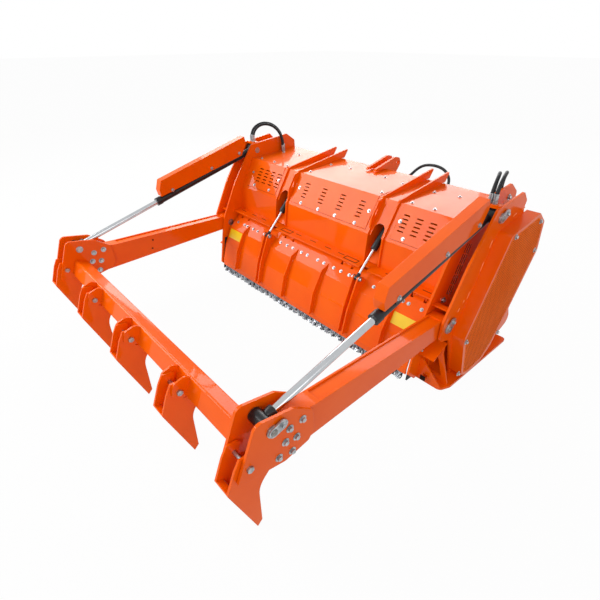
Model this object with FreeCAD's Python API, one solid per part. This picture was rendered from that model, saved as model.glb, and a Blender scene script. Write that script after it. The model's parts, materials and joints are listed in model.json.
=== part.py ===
import FreeCAD, Part
import math
import os

# Forestry mulcher carried on a tractor's three-point linkage, with a hydraulic
# push frame and a hydraulic door. Sizes are in mm. x runs across the machine with
# the right side positive, y runs from the push frame's claws back to the tractor
# and starts at the claw bolts, z runs up from the ground.

V = FreeCAD.Vector

# Cross spacing of the claws, side plates and hood
claw_pitch = 582.5
bay_gap = 112.0
plate_t = 15.0
bay_mid = 2 * claw_pitch
inner_in = bay_mid - bay_gap / 2 - plate_t
inner_out = inner_in + plate_t
outer_in = bay_mid + bay_gap / 2
outer_out = outer_in + plate_t

# Lengthwise reach of the whole machine, from the claws to the hitch
front_reach = -104.0
rear_reach = 2500.0
mid_y = (front_reach + rear_reach) / 2

# Pivots: y from the claw bolts, z from the ground
claw_bolt = (0.0, 464.0)
rod_pin = (123.0, 595.0)
arm_pivot = (1475.5, 464.0)
base_pin = (1829.0, 1072.0)
door_pivot = (1584.0, 514.0)
door_eye = (1462.0, 516.0)
door_base = (1856.0, 936.0)
rotor_axis = (1745.0, 300.0)
lower_hitch = (2450.0, 470.0)
top_link = (2425.0, 1072.0)
drive_axis = (2165.0, 770.0)

# Running fits and gaps
fit = 0.05
swing_gap = 6.0
seat_gap = 0.3

# Pins
arm_pin_r = 30.0
base_pin_r = 25.0
claw_bolt_r = 10.0
hinge_pin_r = 12.5
door_pin_r = 12.5
lower_pin_r = 18.3
top_pin_r = 15.9

# Sheet and plate thicknesses
hood_t = 8.0
door_t = 10.0
rib_t = 12.0
guard_t = 6.0
cover_t = 4.0
sole_t = 16.0

SIDES = ((-1, "left"), (1, "right"))

os.makedirs("parts", exist_ok=True)


def rounded_edges(points):
    """Closed outline of (u, v, radius) corners as line and arc pieces."""
    count = len(points)
    pieces = []
    corners = []
    for i in range(count):
        u, v, r = points[i]
        pu, pv, _ = points[i - 1]
        nu, nv, _ = points[(i + 1) % count]
        a = V(pu - u, pv - v, 0)
        b = V(nu - u, nv - v, 0)
        a.normalize()
        b.normalize()
        here = V(u, v, 0)
        if r <= 0:
            corners.append((here, None, here))
            continue
        half = a.getAngle(b) / 2
        cut = r / math.tan(half)
        mid = a + b
        mid.normalize()
        centre = here + mid * (r / math.sin(half))
        corners.append((here + a * cut, centre - mid * r, here + b * cut))
    for i in range(count):
        start, on, end = corners[i]
        if on is not None:
            pieces.append((start, on, end))
        after = corners[(i + 1) % count][0]
        if end.distanceToPoint(after) > 1e-6:
            pieces.append((end, after))
    return pieces


def with_radius(points):
    return [tuple(p) if len(p) == 3 else (p[0], p[1], 0.0) for p in points]


def outline_wire(points, place):
    """Wire of the outline, each (u, v) put in space by place."""
    edges = []
    for piece in rounded_edges(with_radius(points)):
        spots = [place(p.x, p.y) for p in piece]
        if len(spots) == 3:
            edges.append(Part.Arc(*spots).toShape())
        else:
            edges.append(Part.LineSegment(*spots).toShape())
    return Part.Wire(edges)


def plate_x(points, x0, x1):
    """Plate with an outline in y and z between two x values."""
    wire = outline_wire(points, lambda u, v: V(x0, u, v))
    return Part.Face(wire).extrude(V(x1 - x0, 0, 0))


def plate_y(points, y0, y1):
    """Plate with an outline in x and z between two y values."""
    wire = outline_wire(points, lambda u, v: V(u, y0, v))
    return Part.Face(wire).extrude(V(0, y1 - y0, 0))


def plate_z(points, z0, z1):
    """Plate with an outline in x and y between two z values."""
    wire = outline_wire(points, lambda u, v: V(u, v, z0))
    return Part.Face(wire).extrude(V(0, 0, z1 - z0))


def box(x0, x1, y0, y1, z0, z1):
    return Part.makeBox(x1 - x0, y1 - y0, z1 - z0, V(x0, y0, z0))


def rod_x(centre, r, x0, x1):
    return Part.makeCylinder(r, x1 - x0, V(x0, centre[0], centre[1]), V(1, 0, 0))


def rod_y(x, z, r, y0, y1):
    return Part.makeCylinder(r, y1 - y0, V(x, y0, z), V(0, 1, 0))


def offset_line(points, t):
    """The (y, z) line moved t to its left, with mitred corners."""
    moved = []
    last = len(points) - 1
    for i, (y, z) in enumerate(points):
        dirs = []
        if i > 0:
            d = V(y - points[i - 1][0], z - points[i - 1][1], 0)
            dirs.append(d.normalize())
        if i < last:
            d = V(points[i + 1][0] - y, points[i + 1][1] - z, 0)
            dirs.append(d.normalize())
        normals = [V(-d.y, d.x, 0) for d in dirs]
        mid = normals[0] + normals[-1]
        mid.normalize()
        reach = t / mid.dot(normals[0])
        moved.append((y + mid.x * reach, z + mid.y * reach))
    return moved


def inset(points, t):
    """Closed (y, z, radius) outline moved t inward, corners mitred."""
    count = len(points)
    moved = []
    for i, (y, z, r) in enumerate(points):
        before = V(y - points[i - 1][0], z - points[i - 1][1], 0)
        after = V(points[(i + 1) % count][0] - y, points[(i + 1) % count][1] - z, 0)
        n1 = V(before.y, -before.x, 0).normalize()
        n2 = V(after.y, -after.x, 0).normalize()
        mid = (n1 + n2).normalize()
        reach = t / mid.dot(n1)
        moved.append((y + mid.x * reach, z + mid.y * reach, max(r - t, 0)))
    return moved


def sheet_x(points, t, x0, x1):
    """Folded sheet along a (y, z) line, its thickness on the line's left."""
    inside = offset_line(points, t)
    return plate_x(points + inside[::-1], x0, x1)


def fuse(shapes):
    joined = shapes[0]
    if len(shapes) > 1:
        joined = shapes[0].multiFuse(shapes[1:])
    return joined.removeSplitter()


def both_ends(shape):
    """The shape with its mirror image across x = 0."""
    return [shape, flip(shape)]


def flip(shape):
    return shape.mirror(V(0, 0, 0), V(1, 0, 0))


def to_side(shape, side):
    return shape if side > 0 else flip(shape)


def save(node, shapes):
    """Move the finished node to the machine's own frame and write it."""
    if not isinstance(shapes, list):
        shapes = [shapes]
    shape = shapes[0] if len(shapes) == 1 else Part.makeCompound(shapes)
    shape = shape.copy()
    shape.translate(V(0, -mid_y, 0))
    assert shape.isValid(), node
    shape.exportStep("parts/" + node + ".step")
    print(node, len(shape.Solids), round(shape.Volume / 1e6, 3))


def along(start, end):
    """Length and slope of the line from start to end in the (y, z) plane."""
    dy = end[0] - start[0]
    dz = end[1] - start[1]
    return math.hypot(dy, dz), math.degrees(math.atan2(dz, dy))


def lay_on(shape, start, slope):
    """A shape built along +y from the origin, laid on a sloping line."""
    shape = shape.copy()
    shape.rotate(V(0, 0, 0), V(1, 0, 0), slope)
    shape.translate(V(0, start[0], start[1]))
    return shape


# Claws: one folded U of plate each, hung between two lugs
claw_w = 104.0
claw_t = 12.0
lug_t = 12.0
lug_span = claw_w + 2 + 2 * lug_t
claw_xs = [claw_pitch * k for k in (-2, -1, 0, 1, 2)]
claw_outline = [
    (-32, 520), (40, 512, 20), (17, 424), (22, 402), (122, 362), (126, 352),
    (50, 277, 120), (55, 28), (27, 0), (-104, 354), (-60, 470),
]
claw_inside = [
    (-130, 372), (-70, 350), (38, 40), (70, 20), (200, 300), (200, 560), (-130, 560),
]


def claw(x):
    outer = plate_x(claw_outline, x - claw_w / 2, x + claw_w / 2)
    hollow = plate_x(claw_inside, x - claw_w / 2 + claw_t, x + claw_w / 2 - claw_t)
    hole = rod_x(claw_bolt, claw_bolt_r + seat_gap, x - claw_w, x + claw_w)
    return outer.cut(hollow).cut(hole)


# Push frame: cross tube with lugs, side brackets and arms
lean = 21.6
tube_front = 120.0
tube_top = 100.0
tube_wall = 8.0
tube_ridge = (70.0, 525.0)


def tube_point(back, down):
    """A point at so much behind and below the tube's front ridge."""
    a = math.radians(lean)
    y = tube_ridge[0] + back * math.cos(a) - down * math.sin(a)
    z = tube_ridge[1] - back * math.sin(a) - down * math.cos(a)
    return y, z


def tube_outline(inset, r):
    far_back = tube_top - inset
    far_down = tube_front - inset
    spots = [(inset, inset), (far_back, inset), (far_back, far_down), (inset, far_down)]
    return [tube_point(*s) + (r,) for s in spots]


def cross_tube():
    outer = plate_x(tube_outline(0, 14), -inner_in, inner_in)
    hollow = plate_x(tube_outline(tube_wall, 6), -inner_in, inner_in)
    lug = [
        tube_point(0, 4), tube_point(-36, -2) + (30,), tube_point(-88, 40) + (30,),
        tube_point(-78, 112) + (20,), tube_point(0, 118),
    ]
    shapes = [outer.cut(hollow)]
    for x in claw_xs[1:-1]:
        for x0 in (x - lug_span / 2, x + lug_span / 2 - lug_t):
            shapes.append(plate_x(lug, x0, x0 + lug_t))
    body = fuse(shapes)
    for x in claw_xs[1:-1]:
        body = body.cut(rod_x(claw_bolt, claw_bolt_r + seat_gap, x - 90, x + 90))
    return body


bracket_outline = [
    (-64, 400, 14), (44, 676, 40), (240, 640, 30), (352, 560, 30), (364, 430, 20),
    (330, 378, 20), (190, 350, 30),
]
arm_bolts = [(295, 535), (226, 529), (265, 445), (198, 463), (240, 370), (320, 486)]


def bracket(side):
    shapes = []
    for x0 in (inner_in, outer_in):
        one = plate_x(bracket_outline, x0, x0 + plate_t)
        one = one.cut(rod_x(claw_bolt, claw_bolt_r + seat_gap, x0, x0 + plate_t))
        one = one.cut(rod_x(rod_pin, base_pin_r + fit, x0, x0 + plate_t))
        shapes.append(to_side(one, side))
    return shapes


# Arms: box section, deep at the bracket and slim at the pivot
arm_w = 100.0
arm_side_t = 12.0
arm_lip = 8.0
arm_nose = 62.0
arm_outline = [
    (174, 500, 30), (206, 566, 30), (399, 549, 200), (1432, 526, 60), (1538, 526, 60),
    (1538, 402, 60), (1369, 406, 60), (330, 361, 200), (205, 356, 20),
]


def arm(side):
    x0 = bay_mid - arm_w / 2
    x1 = bay_mid + arm_w / 2
    body = plate_x(arm_outline, x0, x1)
    hollow = plate_x(
        [(100, 376), (330, 381), (1369, 426), (1369, 506), (399, 529), (206, 546),
         (100, 546)], x0 + arm_side_t, x1 - arm_side_t)
    body = body.cut(hollow)
    top_groove = plate_x(
        [(420, 549 - arm_lip - 0.5), (1425, 526 - arm_lip), (1425, 600), (420, 600)],
        x0 + arm_side_t, x1 - arm_side_t)
    body = body.cut(top_groove)
    pads = [
        plate_x([(180, 380, 10), (200, 545, 10), (330, 545, 10), (330, 380, 10)], a, b)
        for a, b in ((inner_out, x0), (x1, outer_in))
    ]
    body = fuse([body] + pads)
    body = body.cut(rod_x(arm_pivot, arm_pin_r + fit, x0, x1))
    return to_side(body, side)


# Push cylinders lie on the line from the rod pin to the base pin
push_len, push_slope = along(rod_pin, base_pin)
barrel_r = 29.0
gland_r = 33.0
gland_at = 719.0
gland_len = 45.0
push_rod_r = 20.0
rod_inside = 260.0
bore_depth = 720.0
eye_r = 35.0
base_eye_r = 44.0
cover_w = 68.0
cover_in = cover_w - 2 * cover_t
cover_outline = [
    (770, 34), (773, 86), (817, 154), (1696, 154), (1696, 91), (1615, 12),
]
cover_inside = [
    (767 + cover_t, 0), (773 + cover_t, 85), (819, 154 - cover_t),
    (1720, 154 - cover_t), (1720, 0),
]
cover_seats = [880.0, 1290.0, 1600.0]


def push_barrel(side):
    """Barrel, gland, base eye and the seats that carry the folded cover."""
    tube = Part.makeCylinder(barrel_r, push_len - gland_at, V(0, gland_at, 0), V(0, 1, 0))
    gland = Part.makeCylinder(gland_r, gland_len, V(0, gland_at, 0), V(0, 1, 0))
    eye = rod_x((push_len, 0), base_eye_r, -bay_gap / 2 + 4, bay_gap / 2 - 4)
    seats = [
        box(-cover_in / 2, cover_in / 2, s - 20, s + 20, 10, 52) for s in cover_seats
    ]
    body = fuse([tube, gland, eye] + seats)
    body = body.cut(rod_x((push_len, 0), base_pin_r + fit, -bay_gap, bay_gap))
    bore = Part.makeCylinder(push_rod_r + fit, bore_depth, V(0, gland_at, 0), V(0, 1, 0))
    body = lay_on(body.cut(bore), rod_pin, push_slope)
    body.translate(V(bay_mid, 0, 0))
    return to_side(body, side)


def cylinder_cover(side):
    """Folded sheet over the barrel, open below and behind."""
    outer = plate_x(cover_outline, -cover_w / 2, cover_w / 2)
    inner = plate_x(cover_inside, -cover_in / 2, cover_in / 2)
    body = lay_on(outer.cut(inner), rod_pin, push_slope)
    body.translate(V(bay_mid, 0, 0))
    return to_side(body, side)


def push_rod(side):
    stem = Part.makeCylinder(push_rod_r, gland_at + rod_inside, V(0, 0, 0), V(0, 1, 0))
    collar = Part.makeCylinder(26, 40, V(0, 30, 0), V(0, 1, 0))
    eye = rod_x((0, 0), eye_r, -bay_gap / 2 + 4, bay_gap / 2 - 4)
    body = lay_on(fuse([eye, collar, stem]), rod_pin, push_slope)
    body.translate(V(bay_mid, 0, 0))
    return to_side(body, side)


# Side plates of the mulcher body
inner_plate_outline = [
    (1769, 1131, 16), (1560, 830, 500), (1400, 505, 300), (1334, 87, 12),
    (1409, sole_t, 12), (2270, sole_t, 20), (2292, 160, 60), (2290, 560, 120),
    (2300, 900, 40), (2283, 1108, 26), (2184, 1175, 20), (2091, 1164, 60),
]
outer_plate_outline = [
    (1769, 1131, 16), (1560, 830, 500), (1404, 520, 60), (1400, 392, 50),
    (1530, 350, 60), (1640, sole_t, 0), (2300, sole_t, 20), (2462, 90, 60),
    (2380, 240, 60), (2230, 300, 120), (2290, 700, 60), (2250, 960, 40),
    (2120, 1045, 60), (2146, 1108, 16), (2080, 1172, 20),
]
bearing_r = 105.0
shaft_r = 45.0


# Breather grille in the inner plate: long slots in columns along its front edge
grille_foot = (1647.0, 576.0)
grille_slope = 66.0
grille_columns = 3
grille_rows = 5
grille_pitch = (27.0, 69.0)
grille_slot = (13.0, 60.0)


def grille_slots(x0):
    slots = []
    wide, tall = grille_slot
    for i in range(grille_columns):
        for k in range(grille_rows):
            v = (i - (grille_columns - 1) / 2) * grille_pitch[0]
            u = k * grille_pitch[1]
            slot = box(x0 - 1, x0 + plate_t + 1, u, u + tall, v - wide / 2, v + wide / 2)
            slots.append(lay_on(slot, grille_foot, grille_slope))
    return Part.makeCompound(slots)


def side_plate(outline, x0, side):
    body = plate_x(outline, x0, x0 + plate_t)
    if x0 < outer_in:
        body = body.cut(grille_slots(x0))
    holes = [(arm_pivot, arm_pin_r + fit), (base_pin, base_pin_r + fit)]
    if x0 < outer_in:
        holes.append((rotor_axis, shaft_r + 12))
    for centre, r in holes:
        body = body.cut(rod_x(centre, r, x0, x0 + plate_t))
    return to_side(body, side)


# Drive guard outside each outer plate
guard_depth = 85.0
guard_outline = [
    (2187, 1039, 10), (2297, 959, 20), (2332, 745, 30), (2127, 361, 60), (1990, 119, 60),
    (1885, 42, 20), (1700, 24, 10), (1630, 55, 10), (1542, 382, 20), (1845, 984, 30),
]


def drive_guard(side):
    outer = plate_x(guard_outline, outer_out, outer_out + guard_depth)
    hollow = plate_x(inset(guard_outline, guard_t), outer_out, outer_out + guard_depth - guard_t)
    return to_side(outer.cut(hollow), side)


# Skids under the side plates
skid_out = outer_out + 76.0
skid_front = 1450.0
skid_rear = 2300.0


def skid(side):
    sole = plate_z(
        [(inner_in, skid_front), (skid_out - 30, skid_front, 40), (skid_out, 1530, 60),
         (skid_out, skid_rear, 30), (inner_in, skid_rear)], 0, sole_t)
    front = plate_y(
        [(inner_out, sole_t), (inner_out, 172), (inner_out + 14, 172),
         (skid_out - 32, sole_t)], skid_front, skid_front + 12)
    hole = box(inner_out + 40, inner_out + 70, skid_front - 5, skid_front + 20, 34, 64)
    rib = plate_y(
        [(inner_out, sole_t), (inner_out, 290), (outer_in, 290), (outer_in, 230),
         (skid_out - 20, sole_t)], skid_front + 66, skid_front + 78)
    window = plate_y(
        [(inner_out + 24, 60, 10), (inner_out + 24, 236, 10), (outer_in - 30, 200, 10),
         (outer_in + 20, 60, 10)], skid_front + 60, skid_front + 90)
    deck = plate_x([(1409, 228), (1420, 224), (1544, 294), (1544, 306)], inner_out, outer_in)
    return to_side(fuse([sole, front.cut(hole), rib.cut(window), deck]), side)


# Hood: outer skin line from the ledge up over the top
ledge_back = (1612.0, 580.0)
hood_line = [ledge_back, (1630.0, 780.0), (1769.0, 1012.0), (2279.0, 1044.0)]
notch_in = 447.0
notch_out = 569.0
notch_mid = (notch_in + notch_out) / 2
rib_in = notch_in - rib_t
rib_out = notch_out + rib_t


# Louvres: short slots in the lids, in columns over a window in the hood's slope
louvre_xs = {
    "left": [-905.0, -820.0, -735.0, -650.0],
    "middle": [-291.0, -97.0, 97.0, 291.0],
    "right": [672.0, 774.0, 876.0],
}
louvre_rows = 5
louvre_start = 90.0
louvre_pitch = 28.0
louvre_slot = (48.0, 8.0)


def slope_cutter(x0, x1, s0, s1):
    """Block through the hood's front slope, from s0 to s1 up along it."""
    (y1, z1), (y2, z2) = hood_line[1:3]
    length, slope = along((y1, z1), (y2, z2))
    return lay_on(box(x0, x1, s0, s1, -30, 30), (y1, z1), slope)


def hood_section(name, x0, x1):
    skin = sheet_x(hood_line, -hood_t, x0, x1)
    top = louvre_start + (louvre_rows - 1) * louvre_pitch
    for x in louvre_xs[name]:
        skin = skin.cut(slope_cutter(x - 30, x + 30, louvre_start - 14, top + 14))
    return skin


# Rib plates beside each notch, with the recess that the door cylinder lies in
recess_line = [(1616.9, 585.2), (1985.0, 978.0), (2010.0, 1027.0)]
rib_outline = [
    ledge_back, (1600, 582), (1618, 786, 20), (1758, 1026, 40), (2349, 1119, 10),
    (2300, 1046, 20), (2279, 1046), (2100, 1029), (2010, 1018), (1985, 968),
]
ear_outline = [(1636, 800), (1648, 900, 12), (1708, 1004, 14), (1790, 1022), (1740, 960)]
ear_hole = [(1668, 896, 4), (1706, 966, 4), (1712, 918, 4)]
notch_mouth_r = 46.0
notch_mouth_top = 96.0


def hood_ribs(side):
    ear = plate_x(ear_outline, notch_in - rib_t, notch_in)
    plates = [
        plate_x(rib_outline, notch_in - rib_t, notch_in),
        plate_x(rib_outline, notch_out, notch_out + rib_t),
        ear.cut(plate_x(ear_hole, notch_in - rib_t, notch_in)),
    ]
    floor = sheet_x(recess_line, -hood_t, notch_in, notch_out)
    roof = sheet_x(hood_line[1:], -hood_t, notch_in, notch_out)
    low = notch_mouth_top - notch_mouth_r
    mouth = slope_cutter(notch_mid - notch_mouth_r, notch_mid + notch_mouth_r, -60, low)
    length, slope = along(*hood_line[1:3])
    arch = Part.makeCylinder(notch_mouth_r, 60, V(notch_mid, low, -30), V(0, 0, 1))
    roof = roof.cut(mouth).cut(lay_on(arch, hood_line[1], slope))
    body = fuse(plates + [floor, roof])
    pin = rod_x(door_base, door_pin_r, notch_in, notch_out)
    body = fuse([body, pin])
    return to_side(body, side)


# Hinge beam: the ledge below the hood's front panel, with the door's hinge lugs
ledge_t = 12.0
ledge_front = (1520.0, 574.0)
hinge_xs = [-960.0, -330.0, 330.0, 960.0]
hinge_len = 80.0
beam_low = 510.0
knuckle_r = 22.0


def hinge_beam():
    top = sheet_x([ledge_front, ledge_back], -ledge_t, -inner_in, inner_in)
    back = box(-inner_in, inner_in, ledge_back[0], ledge_back[0] + 10, beam_low,
               ledge_back[1] - 0.8)
    for x in (-notch_mid, notch_mid):
        top = top.cut(box(x - 36, x + 36, 1500, 1562, 500, 600))
    shapes = [top, back]
    for x in hinge_xs:
        shapes.append(rod_x(door_pivot, hinge_pin_r, x - hinge_len / 2 - 16,
                            x + hinge_len / 2 + 16))
        for x0 in (x - hinge_len / 2 - 14, x + hinge_len / 2 + 2):
            shapes.append(plate_x(
                [(1572, 567), (1567, 520), (1565, 508, 8), (1576, 496, 10), (1600, 504),
                 (1613, 520), (1613, 567)], x0, x0 + 12))
    return fuse(shapes)


# Door: folded panel hung from the hinge, ribs outside, chains below
door_half = inner_in - 16
door_line = [(1346.0, 110.0), (1389.0, 278.0), (1456.0, 423.0), (1548.0, 509.0)]
door_top = (1578.0, 537.0)
door_rib_xs = [-841.0, -174.0, 174.0, 841.0]
door_rib_h = 36.0


def door_panel():
    panel = sheet_x(door_line, -door_t, -door_half, door_half)
    lip = sheet_x([(1346.0, 66.0), (1346.0, 110.0)], -door_t, -door_half, door_half)
    shapes = [panel, lip]
    edges = [-door_half] + [v for x in hinge_xs for v in (x - 62, x + 62)] + [door_half]
    for x0, x1 in zip(edges[::2], edges[1::2]):
        shapes.append(sheet_x([door_line[-1], door_top], -door_t, x0, x1))
    rib = [
        (1346, 110), (1389, 278), (1456, 423), (1520, 483), (1440, 452, 30),
        (1352, 290, 60), (1312, 112),
    ]
    for x in door_rib_xs:
        shapes.append(plate_x(rib, x - 5, x + 5))
    eye_lug = [
        (1346, 110), (1389, 278), (1456, 423), (1528, 490), (1486, 528, 16),
        (1448, 532, 16), (1432, 500, 20), (1352, 290, 60), (1312, 112),
    ]
    for x in (-notch_mid, notch_mid):
        for x0 in (x - 27, x + 15):
            shapes.append(plate_x(eye_lug, x0, x0 + 12))
    for x in hinge_xs:
        knuckle = rod_x(door_pivot, knuckle_r, x - hinge_len / 2, x + hinge_len / 2)
        shapes.append(knuckle)
        shapes.append(plate_x(
            [(1500, 464), (1548, 509), (1576, 534), (1590, 514), (1572, 496), (1554, 500),
             (1508, 456)],
            x - hinge_len / 2, x + hinge_len / 2))
    body = fuse(shapes)
    for x in hinge_xs:
        body = body.cut(rod_x(door_pivot, hinge_pin_r + fit, x - 60, x + 60))
    return body


# Chain curtains: strands of links hung from a bar
link_w = 22.0
link_wire = 7.0


def chain_curtain(y, top, bottom, half, pitch, link_len):
    rail = link_w / 2 + 1
    shapes = [box(-half, half, y - rail, y + rail, top - 6, top + 10)]
    links = int((top - 6 - bottom) // link_len)
    count = int(2 * half // pitch)
    for i in range(count):
        x = (i - (count - 1) / 2) * pitch
        for k in range(links):
            z1 = top - 6 - k * link_len
            wide, deep = (link_w, link_wire) if k % 2 else (link_wire, link_w)
            shapes.append(box(x - wide / 2, x + wide / 2, y - deep / 2, y + deep / 2,
                              z1 - link_len, z1))
    return fuse(shapes)


# Door cylinders
door_len, door_slope = along(door_eye, door_base)
door_barrel_r = 25.0
door_gland_at = 231.0
door_rod_r = 10.0


def door_barrel(side):
    tube = Part.makeCylinder(door_barrel_r, door_len - door_gland_at,
                             V(0, door_gland_at, 0), V(0, 1, 0))
    eye = rod_x((door_len, 0), 28, -34, 34)
    bore = Part.makeCylinder(door_rod_r + fit, 260, V(0, door_gland_at, 0), V(0, 1, 0))
    body = fuse([tube, eye]).cut(bore)
    body = body.cut(rod_x((door_len, 0), door_pin_r + fit, -60, 60))
    body = lay_on(body, door_eye, door_slope)
    body.translate(V(notch_mid, 0, 0))
    return to_side(body, side)


def door_rod(side):
    stem = Part.makeCylinder(door_rod_r, door_gland_at + 120, V(0, 0, 0), V(0, 1, 0))
    eye = rod_x((0, 0), 17, -13, 13)
    body = lay_on(fuse([eye, stem]), door_eye, door_slope)
    body.translate(V(notch_mid, 0, 0))
    return to_side(body, side)


# Rotor: drum on two shaft ends, tooth holders in two spirals
drum_r = 150.0
drum_wall = 25.0
drum_half = inner_in - 34.0
tooth_tip_r = 232.0
tooth_count = 36
tooth_w = 52.0


def rotor_drum():
    drum = rod_x(rotor_axis, drum_r, -drum_half, drum_half)
    drum = drum.cut(rod_x(rotor_axis, drum_r - drum_wall, -drum_half + 30, drum_half - 30))
    for k in range(4):
        a = math.radians(90 * k + 45)
        spot = (rotor_axis[0] + 95 * math.cos(a), rotor_axis[1] + 95 * math.sin(a))
        drum = drum.cut(rod_x(spot, 25, -drum_half - 5, drum_half + 5))
    shapes = [drum]
    for x0, x1 in ((-outer_in + 20, -drum_half), (drum_half, outer_in - 20)):
        shapes.append(rod_x(rotor_axis, shaft_r, x0, x1))
    return fuse(shapes)


def rotor_teeth():
    drum = rod_x(rotor_axis, drum_r, -drum_half, drum_half)
    teeth = []
    span = 2 * (drum_half - 40) / (tooth_count - 1)
    for k in range(tooth_count):
        x = -drum_half + 40 + k * span
        tooth = plate_x(
            [(-34, drum_r - 12), (-42, drum_r + 44), (-8, tooth_tip_r),
             (8, tooth_tip_r - 4), (44, drum_r + 28), (48, drum_r - 12)],
            x - tooth_w / 2, x + tooth_w / 2)
        tooth.rotate(V(0, 0, 0), V(1, 0, 0), 110 * k)
        tooth.translate(V(0, rotor_axis[0], rotor_axis[1]))
        teeth.append(tooth.cut(drum))
    return teeth


def rotor_bearings():
    ring = rod_x(rotor_axis, bearing_r, inner_out, inner_out + 60)
    ring = ring.cut(rod_x(rotor_axis, shaft_r + fit, inner_out, inner_out + 60))
    return both_ends(ring)


# Chamber wall behind the rotor, rear beam, hitch and drive
wall_t = 12.0
wall_line = [(2120.0, 1025.5), (2048.0, 560.0), (2048.0, 156.0)]


def chamber_wall():
    wall = sheet_x(wall_line, wall_t, -inner_in, inner_in)
    y = wall_line[-1][0]
    blade = plate_x([(y, 240), (y - 28, 250), (y - 28, 275), (y, 285)],
                    -inner_in + 20, inner_in - 20)
    return fuse([wall, blade])


beam_y = wall_line[-1][0] + wall_t
beam_box = (beam_y, beam_y + 140.0, 420.0, 558.0)


def rear_beam():
    y0, y1, z0, z1 = beam_box
    outer = box(-inner_in, inner_in, y0, y1, z0, z1)
    inner = box(-inner_in, inner_in, y0 + 10, y1 - 10, z0 + 10, z1 - 10)
    return outer.cut(inner)


hitch_gap = 60.0
hitch_plate_t = 20.0
hitch_mid = 505.0


def lower_hitch_side(side):
    outline = [
        (beam_box[1], 400), (beam_box[1], 620), (2260, 640, 40), (2500, 520, 48),
        (2500, 420, 48), (2300, 400, 40),
    ]
    shapes = []
    for x0 in (hitch_mid - hitch_gap / 2 - hitch_plate_t, hitch_mid + hitch_gap / 2):
        one = plate_x(outline, x0, x0 + hitch_plate_t)
        shapes.append(one.cut(rod_x(lower_hitch, lower_pin_r + fit, x0, x0 + hitch_plate_t)))
    return [to_side(s, side) for s in shapes]


mast_gap = 60.0
mast_t = 20.0
mast_half = 260.0
rear_wall_y = hood_line[-1][0] + 0.5
rear_wall_t = 12.0


def top_link_mast():
    """Rear wall under the hood's back edge, its braces and the two link plates."""
    top = hood_line[-1][1] - hood_t
    wall = plate_y(
        [(-mast_half, 540), (mast_half, 540), (mast_half, 930, 60), (inner_in, 950),
         (inner_in, top), (-inner_in, top), (-inner_in, 950), (-mast_half, 930, 60)],
        rear_wall_y, rear_wall_y + rear_wall_t)
    wall = wall.cut(rod_y(0, drive_axis[1], nose_r + 3, rear_wall_y - 5, rear_wall_y + 20))
    back = rear_wall_y + rear_wall_t
    outline = [
        (back, 860), (back, 1046), (2140, 1046), (2152, 1064), (2392, 1122, 20),
        (2446, 1110, 24), (2468, 1062, 30), (2440, 1024, 30), (2370, 940, 60),
    ]
    shapes = [wall]
    for x0 in (-mast_gap / 2 - mast_t, mast_gap / 2):
        one = plate_x(outline, x0, x0 + mast_t)
        shapes.append(one.cut(rod_x(top_link, top_pin_r + fit, x0, x0 + mast_t)))
    brace = plate_x(
        [(beam_box[1], 430), (rear_wall_y, 540), (rear_wall_y, 1000), (2262, 1000),
         (2240, 860), (2234, 700), (beam_box[1], 620)], mast_half - 12, mast_half)
    return fuse(shapes + both_ends(brace))


# Drive: gearbox in the middle, cross shafts in tubes, input shaft to the rear
shaft_tube_r = 62.0
box_half = 150.0
box_low = 640.0
box_high = 900.0
box_front = 2118.0
box_rear = 2255.0
nose_r = 60.0
nose_end = 2312.0
input_r = 22.2
journal_r = 27.0
journal_end = nose_end + 18.0
input_len = 98.0


def cross_shaft():
    x0 = box_half + 12
    tube = rod_x(drive_axis, shaft_tube_r, x0, inner_in)
    tube = tube.cut(rod_x(drive_axis, shaft_tube_r - 8, x0, inner_in))
    plate = rod_x(drive_axis, shaft_tube_r + 6, box_half, x0)
    return both_ends(fuse([tube, plate]))


def gearbox():
    case = plate_x([(box_front, box_low, 30), (box_rear, box_low, 30),
                    (box_rear, box_high, 30), (box_front, box_high, 30)], -box_half, box_half)
    nose = rod_y(0, drive_axis[1], nose_r, box_rear, nose_end)
    bore = rod_y(0, drive_axis[1], journal_r + fit, box_rear - 10, nose_end)
    return fuse([case, nose]).cut(bore)


def input_shaft():
    """Shaft end for the drive line, with the ring groove of its lock."""
    z = drive_axis[1]
    end = nose_end + input_len
    return fuse([rod_y(0, z, journal_r, box_rear, journal_end),
                 rod_y(0, z, input_r, journal_end, end)])


# Pins with oblong retainer flags outside the outer plates
flag_t = 8.0


def oblong(centre, angle, length, r, x0, x1):
    a = math.radians(angle)
    c, s = math.cos(a), math.sin(a)
    spots = []
    for u, v in ((-r, -r), (length + r, -r), (length + r, r), (-r, r)):
        spots.append((centre[0] + u * c - v * s, centre[1] + u * s + v * c, r * 0.98))
    return plate_x(spots, x0, x1)


def pivot_pins():
    shapes = []
    for centre, r, angle in ((arm_pivot, arm_pin_r, 60), (base_pin, base_pin_r, 25)):
        pin = rod_x(centre, r, inner_in, outer_out + flag_t)
        flag = oblong(centre, angle, 48, 26, outer_out + flag_t, outer_out + 2 * flag_t)
        head = rod_x(centre, r + 6, outer_out, outer_out + flag_t)
        shapes += both_ends(fuse([pin, head, flag]))
    return shapes


def hex_rod(centre, across, x0, x1):
    r = across / math.sqrt(3)
    spots = []
    for k in range(6):
        a = math.radians(60 * k + 30)
        spots.append((centre[0] + r * math.cos(a), centre[1] + r * math.sin(a)))
    return plate_x(spots, x0, x1)


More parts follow.
